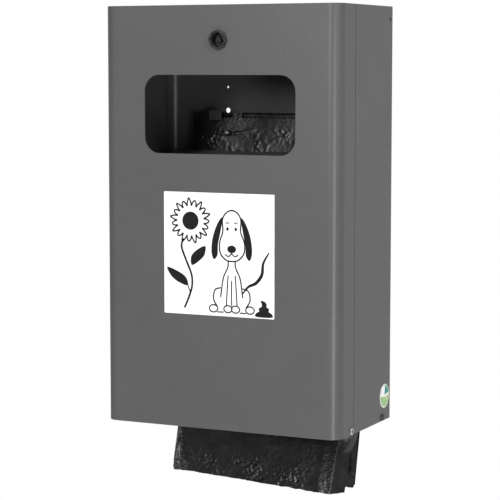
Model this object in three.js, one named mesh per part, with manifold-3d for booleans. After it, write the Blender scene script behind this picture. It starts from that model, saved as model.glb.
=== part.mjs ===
// Dispenser for dog waste bags: a case of bent sheet steel that hangs on a wall or post.
// A pack of bags hangs on two pins inside, and its free ends hang out of the open bottom.
// The front is a door, hinged on two rivets at the bottom and held by a key lock at the top.
//
// Millimetres, +Z up, +X to the right of someone facing the door, which looks towards -Y.
// Shapes are drawn with z = 0 at the bottom edge of the case and y = 0 on its back face.
// The whole group is then lowered, so the origin lies in the middle of the back face.

import * as THREE from 'three';
import { mergeVertices } from 'three/addons/utils/BufferGeometryUtils.js';
import Module from 'manifold-3d';

const wasm = await Module();
wasm.setup();

// ---------------------------------------------------------------- case and sheet

const CASE_WIDTH = 246;
const CASE_HEIGHT = 400;
const CASE_DEPTH = 138;
const SHEET = 1.5;
const BEND_RADIUS = 12;
const DOOR_DEPTH = 35.5;
const SEAM_GAP = 0.8;
const FIT_GAP = 0.3;
const DOOR_CLEARANCE = 0.8;
const CUT_MARGIN = 2;

// Faces that many pieces are placed from.
const FRONT_Y = -CASE_DEPTH;
const DOOR_EDGE_Y = FRONT_Y + DOOR_DEPTH;
const CASE_EDGE_Y = DOOR_EDGE_Y + SEAM_GAP;
const SIDE_X = CASE_WIDTH / 2;
const INSIDE_X = SIDE_X - SHEET;

// Holes in the back and in the sides near the top.
const WALL_HOLE_SPACING = 115;
const WALL_HOLE_RADIUS = 2.6;
const WALL_HOLE_HEIGHTS = [103, 298];
const PILOT_HOLE_HEIGHT = 321;
const PILOT_HOLE_RADIUS = 1.9;
const VENT_HOLE_RADIUS = 2;
const VENT_HOLE_SETBACK = 15;
const VENT_HOLE_DROP = 12.5;

// ---------------------------------------------------------------- top plate

const TOP_RECESS = 1;
const TOP_REAR_FLANGE = 12;
const TOP_FRONT_FLANGE = 7;

// ---------------------------------------------------------------- door

const WINDOW_WIDTH = 157;
const WINDOW_HEIGHT = 74;
const WINDOW_SILL = 261;
const WINDOW_CORNER = 15.5;
const HEM_DEPTH = 12;
const LABEL_WIDTH = 115.5;
const LABEL_HEIGHT = 116;
const LABEL_BOTTOM = 109;
const STICKER_THICKNESS = 0.4;
const STICKER_GAP = 0.1;

// ---------------------------------------------------------------- hinge

const HINGE_SETBACK = 30.3;
const HINGE_HEIGHT = 3.9;
const RIVET_RADIUS = 2;
const RIVET_CLEARANCE = 0.3;
const RIVET_HEAD_RADIUS = 3.5;
const RIVET_HEAD_HEIGHT = 1.2;
const RIVET_CORE_RADIUS = 1;
const RIVET_TAIL_RADIUS = 3;
const RIVET_TAIL_LENGTH = 3;
const WASHER_RADIUS = 4.6;
const WASHER_THICKNESS = 0.8;
const LIP_NOSE = 7;
const LIP_WELD_WIDTH = 16;

const HINGE_Y = FRONT_Y + HINGE_SETBACK;
const LIP_X = INSIDE_X - WASHER_THICKNESS - 2 * FIT_GAP;

// ---------------------------------------------------------------- bag guide

const GUIDE_DEPTH = 38;
const GUIDE_TOP = 258;
const GUIDE_SHEET = 1.2;
const GUIDE_FOOT = 10;
const GUIDE_EAR_HEIGHT = 24;
const GUIDE_EAR_LENGTH = 16;
const GUIDE_LIP_LENGTH = 12;
const GUIDE_LIP_DROP = 4;
const EAR_RIVET_HEIGHT = 3.7;

const EAR_RIVET_Y = -GUIDE_DEPTH + GUIDE_EAR_LENGTH / 2;

// ---------------------------------------------------------------- bags and pins

const BAG_WIDTH = 197;
const BAG_SIDE_GAP = 2.5;
const BAG_TOP = 297;
const BAG_BOTTOM = -68;
const BAG_REAR_GAP = 2.5;
const BACK_STACK_THICKNESS = 10;
const FRONT_STACK_THICKNESS = 14;
const FREE_END_THICKNESS = 3.5;
const SHOULDER_HEIGHT = 230;
const STACK_TAPER_HEIGHT = 50;
const STACK_TAPER = 8;
const LAYER_GAP = 0.6;
const HEADER_NOTCH_X = 51;
const HEADER_NOTCH_WIDTH = 18;
const HEADER_NOTCH_DEPTH = 5;
const LOOSE_BAG_THICKNESS = 1;
const LOOSE_BAG_TOP = 262;
const LEAN_LEFT = 6.5;
const LEAN_FOLD = 27.5;
const LEAN_RIGHT = 10;
const FOLD_X = 81;
const PIN_SPACING = 91;
const PIN_HEIGHT = 277;
const PIN_RADIUS = 2.5;
const PIN_PROUD = 6;
const PIN_HOLE_CLEARANCE = 0.6;
const PIN_COLLAR_RADIUS = 5;
const PIN_COLLAR_THICKNESS = 1;
const TAB_WIDTH = 14;
const TAB_HEIGHT = 10;
const TAB_RISE = 2.5;
const TAB_THICKNESS = 1.2;
const TAB_X = -61;

const STACK_REAR_Y = -SHEET - BAG_REAR_GAP;
const BACK_STACK_Y = STACK_REAR_Y - BACK_STACK_THICKNESS;
const FRONT_STACK_Y = BACK_STACK_Y - LAYER_GAP - FRONT_STACK_THICKNESS;
const FREE_MIDDLE_Y = FRONT_STACK_Y + FREE_END_THICKNESS + LAYER_GAP;
const LOOSE_BAG_Y = FRONT_STACK_Y - LAYER_GAP - LOOSE_BAG_THICKNESS / 2;
const PIN_X = PIN_SPACING / 2;
const GUIDE_X = BAG_WIDTH / 2 + BAG_SIDE_GAP;

// ---------------------------------------------------------------- lock

const LOCK_HEIGHT = 367.5;
const LOCK_HEAD_RADIUS = 9.4;
const LOCK_HEAD_THICKNESS = 3;
const LOCK_BARREL_RADIUS = 8.2;
const LOCK_BARREL_LENGTH = 13;
const LOCK_BORE_RADIUS = 6.6;
const LOCK_RECESS = 8;
const STUD_RADIUS = 5.2;
const CORE_SHAFT_RADIUS = 3;
const LOCK_NUT_RADIUS = 13.4;
const LOCK_NUT_THICKNESS = 4;
const LOCK_WASHER_RADIUS = 11.5;
const LOCK_WASHER_THICKNESS = 1;
const CAM_THICKNESS = 2;
const CAM_REACH = 26;
const CAM_HALF_WIDTH = 7;
const SCREW_HEAD_RADIUS = 5;
const SCREW_HEAD_HEIGHT = 2.4;
const SCREW_RADIUS = 1.5;
const SCREW_LENGTH = 6;
const STRIKE_WIDTH = 44;
const STRIKE_GAP = 0.5;
const STRIKE_NUT_GAP = 1.5;

const LOCK_HEAD_Y = FRONT_Y - FIT_GAP;
const LOCK_FACE_Y = LOCK_HEAD_Y - LOCK_HEAD_THICKNESS;
const LOCK_REAR_Y = FRONT_Y + LOCK_BARREL_LENGTH;
const CAM_FRONT_Y = LOCK_REAR_Y + 2 * FIT_GAP;
const CAM_REAR_Y = CAM_FRONT_Y + CAM_THICKNESS;

// ---------------------------------------------------------------- side sticker

const ROUND_STICKER_RADIUS = 11.8;
const ROUND_STICKER_HEIGHT = 24;
const ROUND_STICKER_SETBACK = 25;

const ARC_STEPS = 6;
const ROUND_STEPS = 24;

// Finishes.
const greyPaint = () => new THREE.MeshStandardMaterial({ color: 0x66676a, roughness: 0.55, metalness: 0.1 });
const blackLock = () => new THREE.MeshStandardMaterial({ color: 0x1c1c1d, roughness: 0.4, metalness: 0.3 });
const zinc = () => new THREE.MeshStandardMaterial({ color: 0xb9bcbe, roughness: 0.35, metalness: 1 });
const nylon = () => new THREE.MeshStandardMaterial({ color: 0x202020, roughness: 0.6, metalness: 0 });
const blackFilm = () => new THREE.MeshStandardMaterial({ color: 0x0e0e0f, roughness: 0.3, metalness: 0 });
const greyCard = () => new THREE.MeshStandardMaterial({ color: 0x3a3a3c, roughness: 0.7, metalness: 0 });
const whiteVinyl = () => new THREE.MeshStandardMaterial({ color: 0xf7f7f5, roughness: 0.35, metalness: 0 });
const greenVinyl = () => new THREE.MeshStandardMaterial({ color: 0x4f9a5a, roughness: 0.35, metalness: 0 });

// ================================================================ making solids

// A closed geometry as a solid that can be cut and joined.
function toSolid(geometry) {
  const shell = geometry.clone();
  shell.deleteAttribute('normal');
  shell.deleteAttribute('uv');
  const merged = mergeVertices(shell, 1e-4);
  return new wasm.Manifold(new wasm.Mesh({
    numProp: 3,
    vertProperties: new Float32Array(merged.attributes.position.array),
    triVerts: new Uint32Array(merged.index.array),
  }));
}

function toGeometry(solid) {
  const mesh = solid.getMesh();
  const geometry = new THREE.BufferGeometry();
  geometry.setAttribute('position', new THREE.BufferAttribute(mesh.vertProperties, 3));
  geometry.setIndex(new THREE.BufferAttribute(mesh.triVerts, 1));
  geometry.computeVertexNormals();
  return geometry;
}

function join(first, ...others) {
  return toGeometry(others.reduce((solid, other) => solid.add(toSolid(other)), toSolid(first)));
}

function cut(geometry, ...cutters) {
  return toGeometry(cutters.reduce((solid, cutter) => solid.subtract(toSolid(cutter)), toSolid(geometry)));
}

function extrude(shape, length) {
  return new THREE.ExtrudeGeometry(shape, { depth: length, bevelEnabled: false, curveSegments: ARC_STEPS });
}

// A plan outline (x, y) raised from zLow to zHigh.
function upright(shape, zLow, zHigh) {
  return extrude(shape, zHigh - zLow).translate(0, 0, zLow);
}

// A side outline (y, z) carried across from xLow to xHigh.
function crosswise(shape, xLow, xHigh) {
  const turn = new THREE.Matrix4().makeBasis(
    new THREE.Vector3(0, 1, 0),
    new THREE.Vector3(0, 0, 1),
    new THREE.Vector3(1, 0, 0),
  );
  return extrude(shape, xHigh - xLow).applyMatrix4(turn).translate(xLow, 0, 0);
}

// A front outline (x, z) carried forward from yRear to yFront.
function forward(shape, yRear, yFront) {
  const turn = new THREE.Matrix4().makeBasis(
    new THREE.Vector3(1, 0, 0),
    new THREE.Vector3(0, 0, 1),
    new THREE.Vector3(0, -1, 0),
  );
  return extrude(shape, yRear - yFront).applyMatrix4(turn).translate(0, yRear, 0);
}

function polygon(points) {
  return new THREE.Shape(points.map(([a, b]) => new THREE.Vector2(a, b)));
}

function block(xLow, xHigh, yLow, yHigh, zLow, zHigh) {
  const box = new THREE.BoxGeometry(xHigh - xLow, yHigh - yLow, zHigh - zLow);
  return box.translate((xLow + xHigh) / 2, (yLow + yHigh) / 2, (zLow + zHigh) / 2);
}

// A round bar along Y or along X, for holes and shafts.
function barAlongY(radius, yLow, yHigh, x, z, sides = ROUND_STEPS) {
  const bar = new THREE.CylinderGeometry(radius, radius, yHigh - yLow, sides);
  return bar.translate(x, (yLow + yHigh) / 2, z);
}

function barAlongX(radius, xLow, xHigh, y, z) {
  const bar = new THREE.CylinderGeometry(radius, radius, xHigh - xLow, ROUND_STEPS);
  return bar.rotateZ(Math.PI / 2).translate((xLow + xHigh) / 2, y, z);
}

// A turned piece whose profile is given as [radius, distance outwards from the middle of
// the case], mirrored to the left or right side (side is -1 or 1).
function turnedOnSide(profile, side, y, z) {
  const points = profile.map(([radius, x]) => new THREE.Vector2(radius, x));
  const turned = new THREE.LatheGeometry(points, ROUND_STEPS);
  return turned.rotateZ(-side * Math.PI / 2).translate(0, y, z);
}

function turnedAlongY(profile, x, z) {
  const points = profile.map(([radius, y]) => new THREE.Vector2(radius, y));
  return new THREE.LatheGeometry(points, ROUND_STEPS).translate(x, 0, z);
}

function roundedRectangle(xLow, xHigh, zLow, zHigh, radius) {
  const shape = new THREE.Shape();
  shape.moveTo(xLow + radius, zLow);
  shape.absarc(xHigh - radius, zLow + radius, radius, -Math.PI / 2, 0, false);
  shape.absarc(xHigh - radius, zHigh - radius, radius, 0, Math.PI / 2, false);
  shape.absarc(xLow + radius, zHigh - radius, radius, Math.PI / 2, Math.PI, false);
  shape.absarc(xLow + radius, zLow + radius, radius, Math.PI, 1.5 * Math.PI, false);
  return shape;
}

// Plan of a sheet bent into a channel: open at openY, closed at closedY, with round bends.
function channelPlan(openY, closedY) {
  const towardsClosed = Math.sign(closedY - openY);
  const bendX = SIDE_X - BEND_RADIUS;
  const bendY = closedY - towardsClosed * BEND_RADIUS;
  const inner = BEND_RADIUS - SHEET;
  const quarter = towardsClosed * Math.PI / 2;
  const clockwise = towardsClosed > 0;
  const shape = new THREE.Shape();
  shape.moveTo(-SIDE_X, openY);
  shape.absarc(-bendX, bendY, BEND_RADIUS, Math.PI, Math.PI - quarter, clockwise);
  shape.absarc(bendX, bendY, BEND_RADIUS, quarter, 0, clockwise);
  shape.lineTo(SIDE_X, openY);
  shape.lineTo(INSIDE_X, openY);
  shape.absarc(bendX, bendY, inner, 0, quarter, !clockwise);
  shape.absarc(-bendX, bendY, inner, Math.PI - quarter, Math.PI, !clockwise);
  shape.lineTo(-INSIDE_X, openY);
  return shape;
}

// ================================================================ the case

// Back and both sides, bent from one sheet.
function caseShell() {
  const channel = upright(channelPlan(CASE_EDGE_Y, 0), 0, CASE_HEIGHT);
  const cutters = [];
  for (const side of [-1, 1]) {
    const x = side * WALL_HOLE_SPACING / 2;
    for (const height of WALL_HOLE_HEIGHTS) {
      cutters.push(barAlongY(WALL_HOLE_RADIUS, -SHEET - CUT_MARGIN, CUT_MARGIN, x, height));
    }
    cutters.push(barAlongY(PILOT_HOLE_RADIUS, -SHEET - CUT_MARGIN, CUT_MARGIN, x, PILOT_HOLE_HEIGHT));
  }
  const acrossLow = -SIDE_X - CUT_MARGIN;
  const acrossHigh = SIDE_X + CUT_MARGIN;
  const ventZ = CASE_HEIGHT - VENT_HOLE_DROP;
  cutters.push(barAlongX(VENT_HOLE_RADIUS, acrossLow, acrossHigh, -VENT_HOLE_SETBACK, ventZ));
  const rivetHole = RIVET_RADIUS + RIVET_CLEARANCE;
  cutters.push(barAlongX(rivetHole, acrossLow, acrossHigh, EAR_RIVET_Y, EAR_RIVET_HEIGHT));
  return cut(channel, ...cutters);
}

// Flat lid between the sides, a little below their top edges, reaching forward over the
// door's top. Its rear edge is bent down for welding and its front edge to stiffen it.
function topPlate() {
  const top = CASE_HEIGHT - TOP_RECESS;
  const rearX = INSIDE_X - FIT_GAP;
  const frontX = INSIDE_X - DOOR_CLEARANCE;
  const rearY = -SHEET - FIT_GAP;
  const frontY = FRONT_Y + SHEET + DOOR_CLEARANCE;
  const rearRadius = BEND_RADIUS - SHEET - FIT_GAP;
  const frontRadius = BEND_RADIUS - SHEET - DOOR_CLEARANCE;
  const plan = new THREE.Shape();
  plan.moveTo(frontX, CASE_EDGE_Y);
  plan.lineTo(rearX, CASE_EDGE_Y);
  plan.absarc(rearX - rearRadius, rearY - rearRadius, rearRadius, 0, Math.PI / 2, false);
  plan.absarc(-rearX + rearRadius, rearY - rearRadius, rearRadius, Math.PI / 2, Math.PI, false);
  plan.lineTo(-rearX, CASE_EDGE_Y);
  plan.lineTo(-frontX, CASE_EDGE_Y);
  plan.absarc(-frontX + frontRadius, frontY + frontRadius, frontRadius, Math.PI, 1.5 * Math.PI, false);
  plan.absarc(frontX - frontRadius, frontY + frontRadius, frontRadius, 1.5 * Math.PI, 2 * Math.PI, false);
  const flangeX = SIDE_X - BEND_RADIUS;
  return join(
    upright(plan, top - SHEET, top),
    block(-flangeX, flangeX, rearY - SHEET, rearY, top - TOP_REAR_FLANGE, top),
    block(-flangeX, flangeX, frontY, frontY + SHEET, top - TOP_FRONT_FLANGE, top),
  );
}

// Upright strip welded inside a case side. The door's flange closes over its front half,
// and the hinge rivet goes through its lower end.
function sideLip(side) {
  const noseY = HINGE_Y - LIP_NOSE;
  const rearY = CASE_EDGE_Y + LIP_WELD_WIDTH;
  const bottom = FIT_GAP;
  const top = CASE_HEIGHT - TOP_RECESS - SHEET - FIT_GAP;
  const outline = new THREE.Shape();
  outline.moveTo(rearY, bottom);
  outline.lineTo(rearY, top);
  outline.lineTo(noseY, top);
  outline.absarc(noseY + HINGE_HEIGHT, bottom + HINGE_HEIGHT, HINGE_HEIGHT, Math.PI, 1.5 * Math.PI, false);
  const xs = [side * LIP_X, side * (LIP_X - SHEET)].sort((a, b) => a - b);
  const strip = crosswise(outline, xs[0], xs[1]);
  const hole = RIVET_RADIUS + RIVET_CLEARANCE;
  return cut(strip, barAlongX(hole, xs[0] - CUT_MARGIN, xs[1] + CUT_MARGIN, HINGE_Y, HINGE_HEIGHT));
}

// Hat-shaped guide welded to the back. Its front wall keeps the hanging bags against the
// back, its lower ears reach out to the case sides, and its top edge slopes forward.
function bagGuide() {
  const t = GUIDE_SHEET;
  const footY = -SHEET - FIT_GAP;
  const frontY = -GUIDE_DEPTH;
  const hat = polygon([
    [-GUIDE_X - GUIDE_FOOT, footY],
    [-GUIDE_X - GUIDE_FOOT, footY - t],
    [-GUIDE_X, footY - t],
    [-GUIDE_X, frontY],
    [GUIDE_X, frontY],
    [GUIDE_X, footY - t],
    [GUIDE_X + GUIDE_FOOT, footY - t],
    [GUIDE_X + GUIDE_FOOT, footY],
    [GUIDE_X - t, footY],
    [GUIDE_X - t, frontY + t],
    [-GUIDE_X + t, frontY + t],
    [-GUIDE_X + t, footY],
  ]);
  const earX = INSIDE_X - FIT_GAP;
  const earY = frontY + GUIDE_EAR_LENGTH;
  const apron = polygon([
    [-earX, earY],
    [-earX, frontY],
    [earX, frontY],
    [earX, earY],
    [earX - t, earY],
    [earX - t, frontY + t],
    [-earX + t, frontY + t],
    [-earX + t, earY],
  ]);
  const lip = polygon([
    [frontY + t, GUIDE_TOP],
    [frontY - GUIDE_LIP_LENGTH, GUIDE_TOP - GUIDE_LIP_DROP],
    [frontY - GUIDE_LIP_LENGTH, GUIDE_TOP - GUIDE_LIP_DROP - t],
    [frontY, GUIDE_TOP - 2 * t],
    [frontY + t, GUIDE_TOP - 2 * t],
  ]);
  const guide = join(
    upright(hat, GUIDE_EAR_HEIGHT - CUT_MARGIN, GUIDE_TOP - t),
    upright(apron, FIT_GAP, GUIDE_EAR_HEIGHT),
    crosswise(lip, -GUIDE_X, GUIDE_X),
  );
  const hole = RIVET_RADIUS + RIVET_CLEARANCE;
  return cut(guide, barAlongX(hole, -SIDE_X, SIDE_X, EAR_RIVET_Y, EAR_RIVET_HEIGHT));
}

// Blind rivet from the outside of a case side through to innerX: a domed head with the
// dark end of its mandrel sunk in the middle, a plain shank and a spread tail.
function blindRivet(side, y, z, innerX) {
  const seat = SIDE_X + FIT_GAP;
  const tail = innerX - FIT_GAP;
  const profile = [
    [0, tail - RIVET_TAIL_LENGTH],
    [RIVET_TAIL_RADIUS * 0.7, tail - RIVET_TAIL_LENGTH],
    [RIVET_TAIL_RADIUS, tail - RIVET_TAIL_LENGTH / 2],
    [RIVET_RADIUS, tail],
    [RIVET_RADIUS, seat],
    [RIVET_HEAD_RADIUS, seat],
    [RIVET_HEAD_RADIUS, seat + RIVET_HEAD_HEIGHT * 0.3],
    [RIVET_HEAD_RADIUS * 0.75, seat + RIVET_HEAD_HEIGHT * 0.8],
    [RIVET_CORE_RADIUS * 1.4, seat + RIVET_HEAD_HEIGHT],
    [RIVET_CORE_RADIUS, seat + RIVET_HEAD_HEIGHT],
    [RIVET_CORE_RADIUS, seat],
    [0, seat],
  ];
  return turnedOnSide(profile, side, y, z);
}

function hingeWasher(side) {
  const hole = RIVET_RADIUS + RIVET_CLEARANCE;
  const outer = INSIDE_X - FIT_GAP;
  const profile = [
    [hole, outer - WASHER_THICKNESS],
    [WASHER_RADIUS, outer - WASHER_THICKNESS],
    [WASHER_RADIUS, outer],
    [hole, outer],
    [hole, outer - WASHER_THICKNESS],
  ];
  return turnedOnSide(profile, side, HINGE_Y, HINGE_HEIGHT);
}

// Stud welded to the back. The bags hang on it by their punched holes.
function hangerPin(side) {
  const root = -SHEET - FIT_GAP;
  const tip = stackFrontAt(PIN_HEIGHT) - PIN_PROUD;
  const profile = [
    [0, tip],
    [PIN_RADIUS * 0.6, tip],
    [PIN_RADIUS, tip + PIN_RADIUS],
    [PIN_RADIUS, root - PIN_COLLAR_THICKNESS],
    [PIN_COLLAR_RADIUS, root - PIN_COLLAR_THICKNESS],
    [PIN_COLLAR_RADIUS, root],
    [0, root],
  ];
  return turnedAlongY(profile, side * PIN_X, PIN_HEIGHT);
}

// Angle welded under the top plate, from its front flange back to where the lock's cam
// turns up behind it.
function lockStrike() {
  const seatZ = CASE_HEIGHT - TOP_RECESS - SHEET - FIT_GAP;
  const rearY = CAM_FRONT_Y - STRIKE_GAP;
  const seatY = FRONT_Y + 2 * SHEET + DOOR_CLEARANCE + FIT_GAP;
  const hookZ = LOCK_HEIGHT + LOCK_NUT_RADIUS * Math.cos(Math.PI / 6) + STRIKE_NUT_GAP;
  const outline = polygon([
    [rearY, hookZ],
    [rearY, seatZ],
    [seatY, seatZ],
    [seatY, seatZ - SHEET],
    [rearY - SHEET, seatZ - SHEET],
    [rearY - SHEET, hookZ],
  ]);
  return crosswise(outline, -STRIKE_WIDTH / 2, STRIKE_WIDTH / 2);
}

function roundSticker() {
  const inner = SIDE_X + STICKER_GAP;
  return barAlongX(ROUND_STICKER_RADIUS, inner, inner + STICKER_THICKNESS,
    -ROUND_STICKER_SETBACK, ROUND_STICKER_HEIGHT);
}

// ================================================================ the door

// Front and its two side flanges, bent from one sheet, with a hem along the bottom. Each
// flange's lower rear corner is rounded about the hinge, so that it clears the case side.
function doorPanel() {
  const channel = upright(channelPlan(DOOR_EDGE_Y, FRONT_Y), 0, CASE_HEIGHT);
  const hemX = SIDE_X - BEND_RADIUS;
  const hem = block(-hemX, hemX, FRONT_Y + SHEET / 2, FRONT_Y + SHEET + HEM_DEPTH, 0, SHEET);
  const outY = FRONT_Y - CUT_MARGIN;
  const inY = FRONT_Y + SHEET + CUT_MARGIN;
  const opening = roundedRectangle(-WINDOW_WIDTH / 2, WINDOW_WIDTH / 2,
    WINDOW_SILL, WINDOW_SILL + WINDOW_HEIGHT, WINDOW_CORNER);
  const heelRadius = DOOR_EDGE_Y - HINGE_Y;
  const heel = new THREE.Shape();
  heel.moveTo(HINGE_Y, HINGE_HEIGHT - heelRadius - CUT_MARGIN);
  heel.lineTo(DOOR_EDGE_Y + CUT_MARGIN, HINGE_HEIGHT - heelRadius - CUT_MARGIN);
  heel.lineTo(DOOR_EDGE_Y + CUT_MARGIN, HINGE_HEIGHT);
  heel.absarc(HINGE_Y, HINGE_HEIGHT, heelRadius, 0, -Math.PI / 2, true);
  const acrossLow = -SIDE_X - CUT_MARGIN;
  const acrossHigh = SIDE_X + CUT_MARGIN;
  return cut(
    join(channel, hem),
    forward(opening, inY, outY),
    barAlongY(LOCK_BARREL_RADIUS + FIT_GAP, outY, inY, 0, LOCK_HEIGHT),
    barAlongX(RIVET_RADIUS + RIVET_CLEARANCE, acrossLow, acrossHigh, HINGE_Y, HINGE_HEIGHT),
    crosswise(heel, acrossLow, acrossHigh),
  );
}

function pictogramLabel() {
  const rear = FRONT_Y - STICKER_GAP;
  return block(-LABEL_WIDTH / 2, LABEL_WIDTH / 2, rear - STICKER_THICKNESS, rear,
    LABEL_BOTTOM, LABEL_BOTTOM + LABEL_HEIGHT);
}

// ================================================================ the lock

// Eight-sided head and round barrel, bored through for the core.
function lockHousing() {
  return cut(
    join(
      barAlongY(LOCK_HEAD_RADIUS, LOCK_FACE_Y, LOCK_HEAD_Y, 0, LOCK_HEIGHT, 8),
      barAlongY(LOCK_BARREL_RADIUS, LOCK_FACE_Y + FIT_GAP, LOCK_REAR_Y, 0, LOCK_HEIGHT),
    ),
    barAlongY(LOCK_BORE_RADIUS, LOCK_FACE_Y - CUT_MARGIN, LOCK_REAR_Y + CUT_MARGIN, 0, LOCK_HEIGHT),
  );
}

function lockWasher() {
  const front = FRONT_Y + SHEET + FIT_GAP;
  return cut(
    barAlongY(LOCK_WASHER_RADIUS, front, front + LOCK_WASHER_THICKNESS, 0, LOCK_HEIGHT),
    barAlongY(LOCK_BARREL_RADIUS + FIT_GAP, front - CUT_MARGIN, front + CUT_MARGIN, 0, LOCK_HEIGHT),
  );
}

function lockNut() {
  const front = FRONT_Y + SHEET + 2 * FIT_GAP + LOCK_WASHER_THICKNESS;
  const rear = front + LOCK_NUT_THICKNESS;
  const hexagon = new THREE.CylinderGeometry(LOCK_NUT_RADIUS, LOCK_NUT_RADIUS, LOCK_NUT_THICKNESS, 6);
  hexagon.rotateY(Math.PI / 6).translate(0, (front + rear) / 2, LOCK_HEIGHT);
  return cut(
    hexagon,
    barAlongY(LOCK_BARREL_RADIUS + FIT_GAP, front - CUT_MARGIN, rear + CUT_MARGIN, 0, LOCK_HEIGHT),
  );
}

// Core with a three-sided key stud sunk in the housing, and a shaft for the cam, drilled
// and tapped for the cam's screw.
function lockCore() {
  const floorY = LOCK_FACE_Y + LOCK_RECESS;
  const shaftEnd = CAM_REAR_Y - FIT_GAP;
  return cut(
    join(
      barAlongY(LOCK_BORE_RADIUS - FIT_GAP, floorY, LOCK_REAR_Y, 0, LOCK_HEIGHT),
      barAlongY(STUD_RADIUS, LOCK_FACE_Y + LOCK_RECESS / 4, floorY + SHEET, 0, LOCK_HEIGHT, 3),
      barAlongY(CORE_SHAFT_RADIUS, LOCK_REAR_Y - SHEET, shaftEnd, 0, LOCK_HEIGHT),
    ),
    barAlongY(SCREW_RADIUS + FIT_GAP, shaftEnd - SCREW_LENGTH, shaftEnd + CUT_MARGIN, 0, LOCK_HEIGHT),
  );
}

// Flat tongue, turned to the left when the lock is open and up when it is locked.
function lockCam() {
  const outline = new THREE.Shape();
  outline.moveTo(-CAM_REACH, LOCK_HEIGHT - CAM_HALF_WIDTH);
  outline.absarc(0, LOCK_HEIGHT, CAM_HALF_WIDTH, -Math.PI / 2, Math.PI / 2, false);
  outline.lineTo(-CAM_REACH, LOCK_HEIGHT + CAM_HALF_WIDTH);
  const hole = barAlongY(CORE_SHAFT_RADIUS + FIT_GAP, CAM_FRONT_Y - CUT_MARGIN, CAM_REAR_Y + CUT_MARGIN,
    0, LOCK_HEIGHT);
  return cut(forward(outline, CAM_REAR_Y, CAM_FRONT_Y), hole);
}

function camScrew() {
  const seat = CAM_REAR_Y + FIT_GAP;
  return turnedAlongY([
    [0, seat - SCREW_LENGTH],
    [SCREW_RADIUS, seat - SCREW_LENGTH],
    [SCREW_RADIUS, seat],
    [SCREW_HEAD_RADIUS, seat],
    [SCREW_HEAD_RADIUS, seat + SCREW_HEAD_HEIGHT / 2],
    [SCREW_HEAD_RADIUS * 0.7, seat + SCREW_HEAD_HEIGHT],
    [0, seat + SCREW_HEAD_HEIGHT],
  ], 0, LOCK_HEIGHT);
}

// ================================================================ the bags

// Front face of the pack at a height: upright, then sloping back towards the header.
function stackFrontAt(z) {
  const taperStart = BAG_TOP - STACK_TAPER_HEIGHT;
  return FRONT_STACK_Y + STACK_TAPER * Math.max(0, z - taperStart) / STACK_TAPER_HEIGHT;
}

// Half of the pack from its side outline, with the two pin holes punched through it and
// the notches in its header that leave the wall screws free.
function stackHalf(outline) {
  const slab = crosswise(polygon(outline), -BAG_WIDTH / 2, BAG_WIDTH / 2);
  const radius = PIN_RADIUS + PIN_HOLE_CLEARANCE;
  const cutters = [-1, 1].flatMap((side) => [
    barAlongY(radius, -GUIDE_DEPTH, 0, side * PIN_X, PIN_HEIGHT),
    block(side * HEADER_NOTCH_X - HEADER_NOTCH_WIDTH / 2, side * HEADER_NOTCH_X + HEADER_NOTCH_WIDTH / 2,
      -GUIDE_DEPTH, 0, BAG_TOP - HEADER_NOTCH_DEPTH, BAG_TOP + CUT_MARGIN),
  ]);
  return cut(slab, ...cutters);
}

// The pack hangs against the back at the pins and swings forward to the guide below, where
// its free end is only a few folded edges thick.
function bagStackBack() {
  return stackHalf([
    [FREE_MIDDLE_Y + FREE_END_THICKNESS, BAG_BOTTOM],
    [FREE_MIDDLE_Y + FREE_END_THICKNESS, 0],
    [STACK_REAR_Y, SHOULDER_HEIGHT],
    [STACK_REAR_Y, BAG_TOP],
    [BACK_STACK_Y, BAG_TOP],
    [BACK_STACK_Y, SHOULDER_HEIGHT],
    [FREE_MIDDLE_Y, 0],
    [FREE_MIDDLE_Y, BAG_BOTTOM],
  ]);
}

function bagStackFront() {
  return stackHalf([
    [FREE_MIDDLE_Y - LAYER_GAP, BAG_BOTTOM],
    [FREE_MIDDLE_Y - LAYER_GAP, 0],
    [BACK_STACK_Y - LAYER_GAP, SHOULDER_HEIGHT],
    [BACK_STACK_Y - LAYER_GAP, BAG_TOP],
    [stackFrontAt(BAG_TOP), BAG_TOP],
    [FRONT_STACK_Y, BAG_TOP - STACK_TAPER_HEIGHT],
    [FRONT_STACK_Y, BAG_BOTTOM],
  ]);
}

// How far the loose bag's lower edge leans forward at a place along it: more and more to
// the right, up to a fold, past which the film turns back.
function leanAt(x) {
  if (x < FOLD_X) {
    return THREE.MathUtils.mapLinear(x, -BAG_WIDTH / 2, FOLD_X, LEAN_LEFT, LEAN_FOLD);
  }
  return THREE.MathUtils.mapLinear(x, FOLD_X, BAG_WIDTH / 2, LEAN_FOLD, LEAN_RIGHT);
}

// The next bag to be pulled: a thin sheet below the pins that leans forward under the case.
function looseBag() {
  const height = LOOSE_BAG_TOP - BAG_BOTTOM;
  const sheet = new THREE.BoxGeometry(BAG_WIDTH, LOOSE_BAG_THICKNESS, height, 22, 1, 20);
  sheet.translate(0, LOOSE_BAG_Y, BAG_BOTTOM + height / 2);
  const points = sheet.attributes.position;
  for (let i = 0; i < points.count; i += 1) {
    const hang = Math.max(0, points.getZ(i) / BAG_BOTTOM);
    points.setY(i, points.getY(i) - hang * leanAt(points.getX(i)));
  }
  return toGeometry(toSolid(sheet));
}

// Stiff tab of the pack's header, standing above the bags beside the left pin.
function headerTab() {
  const bottom = BAG_TOP + TAB_RISE - TAB_HEIGHT;
  const rear = stackFrontAt(bottom) - LAYER_GAP;
  return block(TAB_X - TAB_WIDTH / 2, TAB_X + TAB_WIDTH / 2, rear - TAB_THICKNESS, rear,
    bottom, BAG_TOP + TAB_RISE);
}

// ================================================================ the assembly

const dispenser = new THREE.Group();
dispenser.position.z = -CASE_HEIGHT / 2;

function add(name, geometry, material) {
  const mesh = new THREE.Mesh(geometry, material);
  mesh.name = name;
  dispenser.add(mesh);
}

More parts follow.
